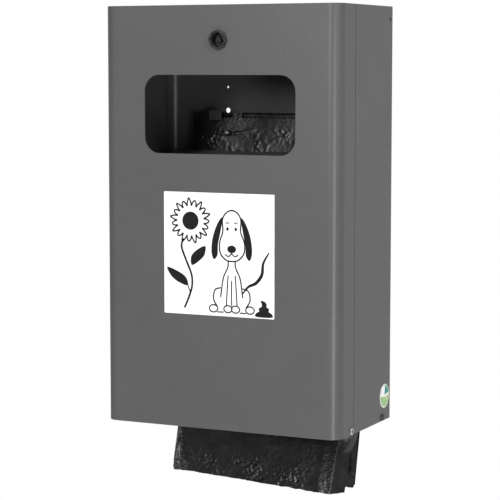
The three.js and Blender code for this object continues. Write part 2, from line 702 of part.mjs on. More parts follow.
add('case_shell', caseShell(), greyPaint());
add('top_plate', topPlate(), greyPaint());
add('lock_strike', lockStrike(), greyPaint());
add('bag_guide', bagGuide(), greyPaint());
for (const [word, side] of [['left', -1], ['right', 1]]) {
  add(`side_lip_${word}`, sideLip(side), greyPaint());
  add(`hinge_rivet_${word}`, blindRivet(side, HINGE_Y, HINGE_HEIGHT, LIP_X - SHEET), zinc());
  add(`hinge_washer_${word}`, hingeWasher(side), nylon());
  const earInnerX = INSIDE_X - FIT_GAP - GUIDE_SHEET;
  add(`guide_rivet_${word}`, blindRivet(side, EAR_RIVET_Y, EAR_RIVET_HEIGHT, earInnerX), zinc());
  add(`hanger_pin_${word}`, hangerPin(side), zinc());
}
add('round_sticker', roundSticker(), greenVinyl());

add('door_panel', doorPanel(), greyPaint());
add('pictogram_label', pictogramLabel(), whiteVinyl());
add('lock_housing', lockHousing(), blackLock());
add('lock_washer', lockWasher(), zinc());
add('lock_nut', lockNut(), zinc());
add('lock_core', lockCore(), blackLock());
add('lock_cam', lockCam(), zinc());
add('cam_screw', camScrew(), zinc());

add('bag_stack_back', bagStackBack(), blackFilm());
add('bag_stack_front', bagStackFront(), blackFilm());
add('header_tab', headerTab(), greyCard());
add('loose_bag', looseBag(), blackFilm());

export default dispenser;
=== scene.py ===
# Dispenser for dog waste bags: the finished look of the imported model, in metres.
# The case hangs on a wall by its back, the door looks towards -Y and +Z is up.
import bmesh
import bpy
import math
from mathutils import Matrix, Vector, noise


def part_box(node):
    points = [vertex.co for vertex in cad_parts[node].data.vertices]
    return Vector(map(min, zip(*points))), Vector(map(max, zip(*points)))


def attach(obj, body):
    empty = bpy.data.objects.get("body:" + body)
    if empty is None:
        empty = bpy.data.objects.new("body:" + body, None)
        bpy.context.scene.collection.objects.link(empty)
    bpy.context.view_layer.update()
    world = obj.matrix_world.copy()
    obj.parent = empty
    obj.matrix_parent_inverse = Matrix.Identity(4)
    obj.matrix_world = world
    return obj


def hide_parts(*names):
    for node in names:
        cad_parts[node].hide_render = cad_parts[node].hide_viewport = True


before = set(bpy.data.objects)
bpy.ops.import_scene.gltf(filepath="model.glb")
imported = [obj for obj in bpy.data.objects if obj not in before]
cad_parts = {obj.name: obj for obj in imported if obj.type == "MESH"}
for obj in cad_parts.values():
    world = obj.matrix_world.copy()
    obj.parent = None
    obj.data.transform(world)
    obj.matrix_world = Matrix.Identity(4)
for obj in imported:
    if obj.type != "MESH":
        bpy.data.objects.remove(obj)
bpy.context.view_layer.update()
scene = bpy.context.scene
mm = 0.001


# ---------------------------------------------------------------- camera, floor and light
# The camera stands to the right of the door and a little below the top of the case, and
# looks slightly down. The case hangs in front of a pale studio floor and a white room.

case_low, case_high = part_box("case_shell")
door_low, door_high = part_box("door_panel")
bag_low, bag_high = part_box("loose_bag")

camera_data = bpy.data.cameras.new("Studio_camera")
camera_data.lens = 133.1
camera = bpy.data.objects.new("Studio_camera", camera_data)
camera.location = (773 * mm, -1682 * mm, case_high.z - 56 * mm)
camera.rotation_euler = (math.radians(90 - 5.71), 0, math.radians(25.62))
camera_data.clip_start = 0.1
camera_data.clip_end = 100
scene.collection.objects.link(camera)
scene.camera = camera
scene.view_settings.view_transform = "Standard"

room = bpy.data.worlds.new("White_room")
room.use_nodes = True
room_nodes, room_links = room.node_tree.nodes, room.node_tree.links
dim_room = room_nodes["Background"]
dim_room.inputs["Color"].default_value = (1, 1, 1, 1)
direction = room_nodes.new("ShaderNodeTexCoord")
towards = room_nodes.new("ShaderNodeSeparateXYZ")
behind = room_nodes.new("ShaderNodeMapRange")
behind.inputs["From Min"].default_value = 0.0
behind.inputs["From Max"].default_value = 0.7
behind.inputs["To Min"].default_value = 0.2
behind.inputs["To Max"].default_value = 0.54
room_links.new(direction.outputs["Generated"], towards.inputs["Vector"])
room_links.new(towards.outputs["Y"], behind.inputs["Value"])
room_links.new(behind.outputs["Result"], dim_room.inputs["Strength"])
white_backdrop = room_nodes.new("ShaderNodeBackground")
white_backdrop.inputs["Color"].default_value = (1, 1, 1, 1)
white_backdrop.inputs["Strength"].default_value = 1.0
seen = room_nodes.new("ShaderNodeLightPath")
either = room_nodes.new("ShaderNodeMixShader")
room_links.new(seen.outputs["Is Camera Ray"], either.inputs[0])
room_links.new(dim_room.outputs["Background"], either.inputs[1])
room_links.new(white_backdrop.outputs["Background"], either.inputs[2])
room_links.new(either.outputs["Shader"], room_nodes["World Output"].inputs["Surface"])
scene.world = room

floor_radius = 2.4
floor_corners = 96
floor_mesh = bmesh.new()
floor_edge = []
for i in range(floor_corners):
    a = 2 * math.pi * i / floor_corners
    floor_edge.append(floor_mesh.verts.new((floor_radius * math.cos(a), floor_radius * math.sin(a), 0)))
floor_mesh.faces.new(floor_edge)
floor_data = bpy.data.meshes.new("Studio_floor")
floor_mesh.to_mesh(floor_data)
floor_mesh.free()
floor = bpy.data.objects.new("Studio_floor", floor_data)
floor.location.z = bag_low.z - 0.9
scene.collection.objects.link(floor)
floor_paint = bpy.data.materials.new("Pale_floor")
floor_paint.use_nodes = True
floor_shader = floor_paint.node_tree.nodes["Principled BSDF"]
floor_shader.inputs["Base Color"].default_value = (0.86, 0.86, 0.86, 1)
floor_shader.inputs["Roughness"].default_value = 0.9
floor_shader.inputs["Emission Color"].default_value = (1, 1, 1, 1)
floor_shader.inputs["Emission Strength"].default_value = 0.5
floor_data.materials.append(floor_paint)


def soft_light(name, azimuth, elevation, distance, width, height, power):
    lamp = bpy.data.lights.new(name, "AREA")
    lamp.shape = "RECTANGLE"
    lamp.size, lamp.size_y = width, height
    lamp.energy = power
    holder = bpy.data.objects.new(name, lamp)
    a, e = math.radians(azimuth), math.radians(elevation)
    away = Vector((math.sin(a) * math.cos(e), -math.cos(a) * math.cos(e), math.sin(e)))
    holder.location = away * distance
    holder.rotation_euler = away.to_track_quat("Z", "Y").to_euler()
    scene.collection.objects.link(holder)


soft_light("Key_light", 62, 30, 2.2, 0.35, 1.0, 23)
soft_light("Edge_light", 36, -8, 2.2, 0.35, 0.95, 10.5)
soft_light("Fill_light", -8, 26, 3.4, 0.8, 2.6, 72)


# ---------------------------------------------------------------- case shell
# The back and both sides of the case are one sheet of 1.5 mm steel, bent round at the two
# rear corners, drilled, and powder coated in a fine satin anthracite.

sheet = 1.5 * mm
bend = 12 * mm
edge_round = 0.3 * mm
half_width = case_high.x


def grained(name, scale, detail, dark, pale, ends, shine, relief, stretch=None):
    """A surface whose colour, gloss and fine relief all follow one grain."""
    surface = bpy.data.materials.new(name)
    surface.use_nodes = True
    nodes, links = surface.node_tree.nodes, surface.node_tree.links
    shader = nodes["Principled BSDF"]
    place = nodes.new("ShaderNodeTexCoord")
    grain = nodes.new("ShaderNodeTexNoise")
    grain.inputs["Scale"].default_value = scale
    grain.inputs["Detail"].default_value = detail
    tint = nodes.new("ShaderNodeValToRGB")
    for stop, position, colour in zip(tint.color_ramp.elements, ends, (dark, pale)):
        stop.position = position
        stop.color = (*colour, 1)
    gloss = nodes.new("ShaderNodeMapRange")
    gloss.inputs["To Min"].default_value, gloss.inputs["To Max"].default_value = shine
    bump = nodes.new("ShaderNodeBump")
    bump.inputs["Strength"].default_value, bump.inputs["Distance"].default_value = relief
    if stretch:
        drawn_out = nodes.new("ShaderNodeMapping")
        drawn_out.inputs["Scale"].default_value = stretch
        links.new(place.outputs["Object"], drawn_out.inputs["Vector"])
        links.new(drawn_out.outputs["Vector"], grain.inputs["Vector"])
    else:
        links.new(place.outputs["Object"], grain.inputs["Vector"])
    links.new(grain.outputs["Fac"], tint.inputs["Fac"])
    links.new(tint.outputs["Color"], shader.inputs["Base Color"])
    links.new(grain.outputs["Fac"], gloss.inputs["Value"])
    links.new(gloss.outputs["Result"], shader.inputs["Roughness"])
    links.new(grain.outputs["Fac"], bump.inputs["Height"])
    links.new(bump.outputs["Normal"], shader.inputs["Normal"])
    return surface


def powder_coat():
    """Satin powder coat: faint clouds and a salt-and-pepper grain, over a fine orange peel."""
    coat = grained("Powder_coat", 900, 3, (0.071, 0.0715, 0.072), (0.104, 0.1045, 0.105), (0.3, 0.72),
                   (0.29, 0.39), (0.22, 0.00012))
    nodes, links = coat.node_tree.nodes, coat.node_tree.links
    place, grain = nodes["Texture Coordinate"], nodes["Noise Texture"]
    grain.inputs["Roughness"].default_value = 0.65
    cloud = nodes.new("ShaderNodeTexNoise")
    cloud.inputs["Scale"].default_value = 14
    peel = nodes.new("ShaderNodeTexNoise")
    peel.inputs["Scale"].default_value = 420
    cloud_share = nodes.new("ShaderNodeMath")
    cloud_share.operation = "MULTIPLY"
    cloud_share.inputs[1].default_value = 0.18
    grain_and_cloud = nodes.new("ShaderNodeMath")
    grain_and_cloud.operation = "MULTIPLY_ADD"
    grain_and_cloud.inputs[1].default_value = 0.82
    links.new(place.outputs["Object"], cloud.inputs["Vector"])
    links.new(place.outputs["Object"], peel.inputs["Vector"])
    links.new(cloud.outputs["Fac"], cloud_share.inputs[0])
    links.new(grain.outputs["Fac"], grain_and_cloud.inputs[0])
    links.new(cloud_share.outputs["Value"], grain_and_cloud.inputs[2])
    links.new(grain_and_cloud.outputs["Value"], nodes["Color Ramp"].inputs["Fac"])
    links.new(peel.outputs["Fac"], nodes["Bump"].inputs["Height"])
    return coat


anthracite = powder_coat()


def turned_arc(cx, cy, radius, start, end, steps):
    """Points of an arc from one angle to another, in degrees."""
    angles = [math.radians(start + (end - start) * i / steps) for i in range(steps + 1)]
    return [(cx + radius * math.cos(a), cy + radius * math.sin(a)) for a in angles]


def prism(name, outline, axis, low, high):
    """A closed piece whose outline is carried along X, Y or Z."""
    place = {
        "x": lambda a, b, c: (c, a, b),
        "y": lambda a, b, c: (a, c, b),
        "z": lambda a, b, c: (a, b, c),
    }[axis]
    mesh = bmesh.new()
    ends = [[mesh.verts.new(place(a, b, c)) for a, b in outline] for c in (low, high)]
    mesh.faces.new(ends[0])
    mesh.faces.new(ends[1])
    for i in range(len(outline)):
        j = (i + 1) % len(outline)
        mesh.faces.new((ends[0][i], ends[0][j], ends[1][j], ends[1][i]))
    bmesh.ops.recalc_face_normals(mesh, faces=mesh.faces)
    data = bpy.data.meshes.new(name)
    mesh.to_mesh(data)
    mesh.free()
    piece = bpy.data.objects.new(name, data)
    scene.collection.objects.link(piece)
    return piece


def apply_modifiers(piece):
    """Turns what the modifiers show into the piece's own mesh."""
    view = bpy.context.evaluated_depsgraph_get()
    shown = piece.evaluated_get(view)
    data = bpy.data.meshes.new_from_object(shown, preserve_all_data_layers=True, depsgraph=view)
    piece.modifiers.clear()
    piece.data = data


def worked(piece, others, operation):
    """Cuts the other pieces out of this one, or welds them to it, and uses them up."""
    for other in others:
        step = piece.modifiers.new("Work", "BOOLEAN")
        step.operation = operation
        step.solver = "EXACT"
        step.object = other
        apply_modifiers(piece)
        bpy.data.objects.remove(other)
    return piece


def rounded_edges(piece, radius, material, segments=2):
    """Breaks the sharp edges, shades the bends smoothly and gives the piece its finish."""
    bevel = piece.modifiers.new("Edges", "BEVEL")
    bevel.width = radius
    bevel.segments = segments
    bevel.limit_method = "ANGLE"
    bevel.angle_limit = math.radians(32)
    apply_modifiers(piece)
    for face in piece.data.polygons:
        face.use_smooth = True
    weigh = piece.modifiers.new("Normals", "WEIGHTED_NORMAL")
    weigh.weight = 60
    apply_modifiers(piece)
    piece.data.materials.clear()
    piece.data.materials.append(material)
    return piece


def bar(name, radius, axis, low, high, a, b, steps=40):
    """A round bar; it also serves as the drill that cuts a round hole."""
    return prism(name, turned_arc(a, b, radius, 0, 360, steps)[:-1], axis, low, high)


def channel(open_y, closed_y):
    """Plan of a sheet bent into a channel, open at one end and with round bends."""
    side = 1 if closed_y > open_y else -1
    bend_x, bend_y = half_width - bend, closed_y - side * bend
    left = turned_arc(-bend_x, bend_y, bend, 180, 180 - side * 90, 18)
    right = turned_arc(bend_x, bend_y, bend, side * 90, 0, 18)
    right_in = turned_arc(bend_x, bend_y, bend - sheet, 0, side * 90, 18)
    left_in = turned_arc(-bend_x, bend_y, bend - sheet, 180 - side * 90, 180, 18)
    inner_x = half_width - sheet
    return [(-half_width, open_y), *left, *right, (half_width, open_y),
            (inner_x, open_y), *right_in, *left_in, (-inner_x, open_y)]


case_shell = prism("Case_shell", channel(case_low.y, case_high.y), "z", case_low.z, case_high.z)
screw_hole_x, screw_hole, pilot_hole, drain_hole, rivet_hole = 57.5 * mm, 2.6 * mm, 1.2 * mm, 2 * mm, 2.3 * mm
through_back = (-4 * mm, 4 * mm)
across = (-half_width - 2 * mm, half_width + 2 * mm)
holes = []
for side in (-1, 1):
    for height, radius in ((103 * mm, screw_hole), (298.6 * mm, screw_hole), (322 * mm, pilot_hole)):
        holes.append(bar("Hole", radius, "y", *through_back, side * screw_hole_x, case_low.z + height))
ear_rivet_y, ear_rivet_z = (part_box("guide_rivet_right")[0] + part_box("guide_rivet_right")[1]).yz / 2
holes.append(bar("Hole", drain_hole, "x", *across, -15 * mm, case_high.z - 12.5 * mm))
holes.append(bar("Hole", rivet_hole, "x", *across, ear_rivet_y, ear_rivet_z))
worked(case_shell, holes, "DIFFERENCE")
rounded_edges(case_shell, edge_round, anthracite)
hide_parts("case_shell")
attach(case_shell, "case")


# ---------------------------------------------------------------- top plate, lips and strike
# Flat pieces of the same sheet, welded inside the shell: the plate that closes its top, the
# two upright lips that the door closes over, and the angle that the lock catches behind.

fit = 0.3 * mm
plate_low, plate_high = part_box("top_plate")
plate_rear, plate_front = plate_high.y, plate_low.y
rear_x, front_x = plate_high.x, plate_high.x - 0.5 * mm
rear_round, front_round = bend - sheet - fit, bend - sheet - 0.8 * mm
plate_plan = [
    (front_x, case_low.y), (rear_x, case_low.y),
    *turned_arc(rear_x - rear_round, plate_rear - rear_round, rear_round, 0, 90, 10),
    *turned_arc(-rear_x + rear_round, plate_rear - rear_round, rear_round, 90, 180, 10),
    (-rear_x, case_low.y), (-front_x, case_low.y),
    *turned_arc(-front_x + front_round, plate_front + front_round, front_round, 180, 270, 10),
    *turned_arc(front_x - front_round, plate_front + front_round, front_round, 270, 360, 10),
]
top_plate = prism("Top_plate", plate_plan, "z", plate_high.z - sheet, plate_high.z)
flange_x = half_width - bend
fold = 1.6 * mm


def flange(name, rear, front, top, drop, across_low, across_high, foot_forward):
    """Section of a strip bent down from a flat edge, with a round outer bend."""
    if foot_forward:
        outer = turned_arc(front + fold, top - fold, fold, 90, 180, 6)
        section = [(rear, top), *outer, (front, top - drop), (front + sheet, top - drop),
                   (front + sheet, top - sheet), (rear, top - sheet)]
    else:
        outer = turned_arc(rear - fold, top - fold, fold, 90, 0, 6)
        section = [(front, top), *outer, (rear, top - drop), (rear - sheet, top - drop),
                   (rear - sheet, top - sheet), (front, top - sheet)]
    return prism(name, section, "x", across_low, across_high)


foot, rear_drop, front_drop = 6 * mm, 12 * mm, 7 * mm
rear_flange = flange("Flange", plate_rear, plate_rear - foot, plate_high.z, rear_drop,
                     -flange_x, flange_x, False)
front_flange = flange("Flange", plate_front + foot, plate_front, plate_high.z, front_drop,
                      -flange_x, flange_x, True)
worked(top_plate, [rear_flange, front_flange], "UNION")
rounded_edges(top_plate, edge_round, anthracite)
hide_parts("top_plate")
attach(top_plate, "case")

hinge_y, hinge_z = ((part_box("hinge_rivet_right")[0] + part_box("hinge_rivet_right")[1]) / 2).yz
nose = 3.9 * mm
for word in ("left", "right"):
    low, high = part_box("side_lip_" + word)
    outline = [(high.y, low.z), (high.y, high.z), (low.y, high.z),
               *turned_arc(low.y + nose, low.z + nose, nose, 180, 270, 8)]
    lip = prism("Side_lip_" + word, outline, "x", low.x, high.x)
    worked(lip, [bar("Hole", rivet_hole, "x", low.x - sheet, high.x + sheet, hinge_y, hinge_z)], "DIFFERENCE")
    rounded_edges(lip, edge_round, anthracite)
    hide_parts("side_lip_" + word)
    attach(lip, "case")

strike_low, strike_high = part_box("lock_strike")
strike = flange("Lock_strike", strike_high.y, strike_low.y, strike_high.z, strike_high.z - strike_low.z,
                strike_low.x, strike_high.x, False)
rounded_edges(strike, edge_round, anthracite)
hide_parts("lock_strike")
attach(strike, "case")


# ---------------------------------------------------------------- bag guide
# A hat-shaped wall of 1.2 mm sheet, welded to the back, that keeps the hanging bags in
# place. Its top edge slopes forward, and two ears at its foot are riveted to the sides.

guide_low, guide_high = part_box("bag_guide")
guide_sheet = 1.2 * mm
guide_foot_y = guide_high.y
guide_wall_y = -38 * mm
wall_x, weld_foot, guide_bend = 101 * mm, 10 * mm, 2.4 * mm
ear_x, ear_depth, ear_top = guide_high.x, 16 * mm, case_low.z + 24 * mm


def bent_strip(points, thickness, radius):
    """Section of a strip that follows the points, which lie on its outer face."""
    corners = [Vector(point) for point in points]
    outer, inner = [], []
    for i, corner in enumerate(corners):
        before = (corner - corners[i - 1]).normalized() if i > 0 else None
        after = (corners[i + 1] - corner).normalized() if i < len(corners) - 1 else None
        if before is None or after is None:
            along = after or before
            across = Vector((-along.y, along.x))
            outer.append(corner)
            inner.append(corner + across * thickness)
            continue
        turn = before.x * after.y - before.y * after.x
        angle = math.acos(max(-1, min(1, before.dot(after))))
        grow = radius if turn > 0 else radius - thickness
        away = max(grow, 0.4 * mm)
        cut_back = away * math.tan(angle / 2)
        start, end = corner - before * cut_back, corner + after * cut_back
        for step in range(5):
            t = step / 4
            point = start * (1 - t) ** 2 + corner * 2 * t * (1 - t) + end * t ** 2
            along = (before * (1 - t) + after * t).normalized()
            outer.append(point)
            inner.append(point + Vector((-along.y, along.x)) * thickness)
    return [tuple(p) for p in outer] + [tuple(p) for p in reversed(inner)]


hat = bent_strip([
    (-wall_x - weld_foot, guide_foot_y - guide_sheet), (-wall_x, guide_foot_y - guide_sheet),
    (-wall_x, guide_wall_y), (wall_x, guide_wall_y),
    (wall_x, guide_foot_y - guide_sheet), (wall_x + weld_foot, guide_foot_y - guide_sheet),
], guide_sheet, guide_bend)
guide = prism("Bag_guide", hat, "z", ear_top - 2 * mm, guide_high.z - 2 * guide_sheet)
apron_plan = bent_strip([
    (-ear_x, guide_wall_y + ear_depth), (-ear_x, guide_wall_y),
    (ear_x, guide_wall_y), (ear_x, guide_wall_y + ear_depth),
], guide_sheet, guide_bend)
apron = prism("Apron", apron_plan, "z", guide_low.z, ear_top)
lip_rear, lip_drop = guide_high.z + 1.4 * mm, 3 * mm
lip_root = guide_high.z - 2 * guide_sheet - 0.2 * mm
slope = prism("Slope", [
    (guide_wall_y + guide_sheet, lip_rear), (guide_low.y, lip_rear - lip_drop),
    (guide_low.y, lip_rear - lip_drop - guide_sheet), (guide_wall_y, lip_root),
    (guide_wall_y + guide_sheet, lip_root),
], "x", -wall_x, wall_x)
worked(guide, [apron, slope], "UNION")
ear_hole = bar("Hole", rivet_hole, "x", *across, ear_rivet_y, ear_rivet_z)
worked(guide, [ear_hole], "DIFFERENCE")
rounded_edges(guide, 0.22 * mm, anthracite)
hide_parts("bag_guide")
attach(guide, "case")


# ---------------------------------------------------------------- rivets and washers
# Plated blind rivets: a low domed head outside with the dark end of its pin sunk in the
# middle. The upper pair carries the door and turns in nylon washers.


def plated_steel(name, dark, pale, dull):
    """Plated steel, a little streaky, with fine scratches."""
    plate = grained(name, 700, 5, dark, pale, (0.3, 0.7), (dull - 0.08, dull + 0.12), (0.15, 0.0001))
    plate.node_tree.nodes["Principled BSDF"].inputs["Metallic"].default_value = 0.9
    return plate


zinc = plated_steel("Zinc_plate", (0.42, 0.43, 0.44), (0.62, 0.63, 0.64), 0.3)
mandrel_steel = plated_steel("Mandrel_steel", (0.05, 0.05, 0.05), (0.12, 0.12, 0.12), 0.45)


def turned(name, profile, along, place, material, steps=48):
    """A turned piece from [radius, distance along its axis], with its edges broken."""
    mesh = bmesh.new()
    rings = []
    for radius, distance in profile:
        if radius < 1e-7:
            rings.append([mesh.verts.new((0, 0, distance))])
            continue
        ring = []
        for i in range(steps):
            a = 2 * math.pi * i / steps
            ring.append(mesh.verts.new((radius * math.cos(a), radius * math.sin(a), distance)))
        rings.append(ring)
    for lower, upper in zip(rings, rings[1:]):
        for i in range(steps):
            j = (i + 1) % steps
            corners = [lower[i % len(lower)], lower[j % len(lower)],
                       upper[j % len(upper)], upper[i % len(upper)]]
            corners = list(dict.fromkeys(corners))
            if len(corners) > 2:
                mesh.faces.new(corners)
    bmesh.ops.recalc_face_normals(mesh, faces=mesh.faces)
    data = bpy.data.meshes.new(name)
    mesh.to_mesh(data)
    mesh.free()
    data.transform(Matrix.Translation(place) @ Vector(along).to_track_quat("Z", "Y").to_matrix().to_4x4())
    piece = bpy.data.objects.new(name, data)
    scene.collection.objects.link(piece)
    return rounded_edges(piece, 0.06 * mm, material)


def dome(radius, height, base, hollow):
    """Profile of a low domed head that closes in on a sunk middle."""
    points = []
    for i in range(9):
        a = math.radians(90 * i / 8)
        r = hollow + (radius - hollow) * math.cos(a) ** 0.8
        points.append((r, base + height * (0.28 + 0.72 * math.sin(a))))
    return [(radius, base)] + points


rivet_shank, rivet_head, rivet_mouth, seat = 1.95 * mm, 3.5 * mm, 1.65 * mm, half_width + fit
for kind, head_metal, end_metal in (("hinge", zinc, mandrel_steel), ("guide", mandrel_steel, zinc)):
    for side, word in ((-1, "left"), (1, "right")):
        node = kind + "_rivet_" + word
        low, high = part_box(node)
        outer_end = max(abs(low.x), abs(high.x))
        inner_end = min(abs(low.x), abs(high.x))
        spot = (0, (low.y + high.y) / 2, (low.z + high.z) / 2)
        profile = [(0, inner_end), (2.1 * mm, inner_end), (3 * mm, inner_end + 1.2 * mm),
                   (2.2 * mm, inner_end + 2.6 * mm), (rivet_shank, inner_end + 3 * mm), (rivet_shank, seat),
                   *dome(rivet_head, outer_end - seat, seat, rivet_mouth),
                   (rivet_mouth - 0.05 * mm, outer_end - 0.1 * mm),
                   (rivet_mouth - 0.1 * mm, seat + 0.25 * mm), (0, seat + 0.25 * mm)]
        rivet = turned(kind.capitalize() + "_rivet_" + word, profile, (side, 0, 0), spot, head_metal)
        end_profile = [(0, seat + 0.26 * mm), (1.45 * mm, seat + 0.26 * mm), (1.45 * mm, seat + 0.5 * mm),
                       (mm, seat + 0.64 * mm), (0, seat + 0.66 * mm)]
        mandrel = turned(kind.capitalize() + "_rivet_end_" + word, end_profile, (side, 0, 0), spot, end_metal)
        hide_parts(node)
        for piece in (rivet, mandrel):
            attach(piece, "case")

black_nylon = grained("Black_nylon", 1500, 2, (0.012, 0.012, 0.012), (0.03, 0.03, 0.03), (0, 1),
                      (0.45, 0.65), (0.2, 0.00008))
washer_bore, washer_rim = 2.3 * mm, 4.6 * mm
for side, word in ((-1, "left"), (1, "right")):
    node = "hinge_washer_" + word
    low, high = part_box(node)
    near, far = min(abs(low.x), abs(high.x)), max(abs(low.x), abs(high.x))
    profile = [(washer_bore, near), (washer_rim, near), (washer_rim, far),
               (washer_bore, far), (washer_bore, near)]
    spot = (0, (low.y + high.y) / 2, (low.z + high.z) / 2)
    washer = turned("Hinge_washer_" + word, profile, (side, 0, 0), spot, black_nylon)
    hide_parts(node)
    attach(washer, "case")


# ---------------------------------------------------------------- door
# One sheet bent round at its two front corners, with a window cut in it, a round hole for
# the lock and a hem folded in along the bottom. Coated like the case.

door = prism("Door", channel(door_high.y, door_low.y), "z", door_low.z, door_high.z)
hem_x, hem_y = half_width - bend, door_low.y + sheet + 12 * mm
hem = prism("Hem", [(-hem_x, door_low.y + sheet / 2), (hem_x, door_low.y + sheet / 2),
                    (hem_x, hem_y), (-hem_x, hem_y)], "z", door_low.z, door_low.z + sheet)
worked(door, [hem], "UNION")

window_x, window_low, window_high = 78.5 * mm, case_low.z + 261 * mm, case_low.z + 335 * mm
corner = 15.5 * mm
window = prism("Window", [
    *turned_arc(window_x - corner, window_low + corner, corner, -90, 0, 16),
    *turned_arc(window_x - corner, window_high - corner, corner, 0, 90, 16),
    *turned_arc(-window_x + corner, window_high - corner, corner, 90, 180, 16),
    *turned_arc(-window_x + corner, window_low + corner, corner, 180, 270, 16),
], "y", door_low.y - 2 * mm, door_low.y + 4 * mm)
lock_z = (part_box("lock_housing")[0].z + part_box("lock_housing")[1].z) / 2
lock_bore = 8.5 * mm
lock_hole = bar("Hole", lock_bore, "y", door_low.y - 2 * mm, door_low.y + 4 * mm, 0, lock_z)
hinge_hole = bar("Hole", rivet_hole, "x", *across, hinge_y, hinge_z)
heel = door_high.y - hinge_y
heel_cut = prism("Heel", [(hinge_y, hinge_z - heel - 2 * mm), (door_high.y + 2 * mm, hinge_z - heel - 2 * mm),
                          (door_high.y + 2 * mm, hinge_z),
                          *turned_arc(hinge_y, hinge_z, heel, 0, -90, 10)], "x", *across)
worked(door, [window, lock_hole, hinge_hole, heel_cut], "DIFFERENCE")
rounded_edges(door, edge_round, anthracite)
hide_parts("door_panel")
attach(door, "door")


# ---------------------------------------------------------------- label and its drawing
# A white vinyl label on the door. A flower, a sitting dog and its small heap are printed
# on it in plain black.


def printed_vinyl(name, dark, pale, dull):
    """Printed film: smooth, with a faint mottle in colour and shine."""
    return grained(name, 160, 4, dark, pale, (0.3, 0.7), (dull - 0.06, dull + 0.06), (0.05, 0.0001))


white_vinyl = printed_vinyl("White_vinyl", (0.90, 0.90, 0.91), (0.96, 0.96, 0.97), 0.45)
black_print = printed_vinyl("Black_print", (0.006, 0.006, 0.006), (0.011, 0.011, 0.011), 0.45)
black_print.node_tree.nodes["Principled BSDF"].inputs["Specular IOR Level"].default_value = 0.2

label_low, label_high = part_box("pictogram_label")
middle_x, middle_z = (label_low.x + label_high.x) / 2, (label_low.z + label_high.z) / 2
label_round = 1 * mm
label_outline = [
    *turned_arc(label_high.x - label_round, label_low.z + label_round, label_round, -90, 0, 5),
    *turned_arc(label_high.x - label_round, label_high.z - label_round, label_round, 0, 90, 5),
    *turned_arc(label_low.x + label_round, label_high.z - label_round, label_round, 90, 180, 5),
    *turned_arc(label_low.x + label_round, label_low.z + label_round, label_round, 180, 270, 5),
]
label = prism("Pictogram_label", label_outline, "y", label_low.y, label_high.y)
rounded_edges(label, 0.08 * mm, white_vinyl)
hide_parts("pictogram_label")
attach(label, "door")

ink = bmesh.new()
ink_rear, ink_front = label_low.y - 0.02 * mm, label_low.y - 0.06 * mm


def ink_shape(outline):
    """A filled black shape; the points are millimetres right of and above the middle."""
    places = [(middle_x + u * mm, middle_z + v * mm) for u, v in outline]
    ends = [[ink.verts.new((x, y, z)) for x, z in places] for y in (ink_rear, ink_front)]
    ink.faces.new(ends[0])
    ink.faces.new(ends[1])
    for i in range(len(places)):
        j = (i + 1) % len(places)
        ink.faces.new((ends[0][i], ends[0][j], ends[1][j], ends[1][i]))


def flowing(points, closed=False, steps=7):
    """A smooth line through the points."""
    count = len(points)
    line = []
    for i in range(count if closed else count - 1):
        if closed:
            a, b, c, d = (points[(i + k) % count] for k in (-1, 0, 1, 2))
        else:
            a, b, c, d = (points[min(max(i + k, 0), count - 1)] for k in (-1, 0, 1, 2))
        for step in range(steps):
            t = step / steps
            line.append(tuple(
                0.5 * (2 * b[k] + (c[k] - a[k]) * t + (2 * a[k] - 5 * b[k] + 4 * c[k] - d[k]) * t ** 2
                       + (3 * b[k] - a[k] - 3 * c[k] + d[k]) * t ** 3)
                for k in (0, 1)))
    if not closed:
        line.append(points[-1])
    return line


def ink_line(points, width=1.4, closed=False, taper=False):
    """A drawn line of even width, or one that thins towards its ends."""
    line = [Vector(point) for point in flowing(points, closed)]
    count = len(line)
    left, right = [], []
    for i, point in enumerate(line):
        ahead = line[(i + 1) % count] if closed or i < count - 1 else point
        behind = line[i - 1] if closed or i > 0 else point
        along = (ahead - behind).normalized()
        across = Vector((-along.y, along.x))
        half = width / 2
        if taper:
            half *= 0.35 + 0.65 * math.sin(math.pi * i / (count - 1))
        left.append(point + across * half)
        right.append(point - across * half)
    for i in range(count if closed else count - 1):
        j = (i + 1) % count
        ink_shape([tuple(left[i]), tuple(left[j]), tuple(right[j]), tuple(right[i])])


def ring_points(u, v, wide, high, turn=0, steps=28):
    c, s = math.cos(math.radians(turn)), math.sin(math.radians(turn))
    points = []
    for i in range(steps):
        a = 2 * math.pi * i / steps
        p, q = wide * math.cos(a), high * math.sin(a)
        points.append((u + p * c - q * s, v + p * s + q * c))
    return points


flower_u, flower_v = -29.5, 31
ink_shape(ring_points(flower_u, flower_v, 8.6, 8.6, steps=40))
petals = 19
for i in range(petals):
    a = 2 * math.pi * i / petals
    half = math.pi / petals
    reach = 21.5 if i % 2 else 19.5
    petal = ((14, -half), (17.5, -half * 0.62), (reach, 0), (17.5, half * 0.62), (14, half))
    ink_line([(flower_u + r * math.cos(a + d), flower_v + r * math.sin(a + d)) for r, d in petal], 1.46)
ink_line([(-37, 14), (-39, 6), (-34, -7), (-28.5, -20), (-28, -31), (-31.5, -42), (-36, -52)], 2.03)
ink_shape(flowing([(-28, -11), (-28.8, -3), (-23, 3.5), (-14, 7.5), (-14.6, -0.5), (-20, -6.5)], True))
ink_shape(flowing([(-54.5, -14), (-50, -22.5), (-42, -28), (-32.5, -30.5), (-34.5, -23), (-43, -17.5)], True))
ink_line([(-32.5, -30.5), (-29.8, -37)], 1.14)

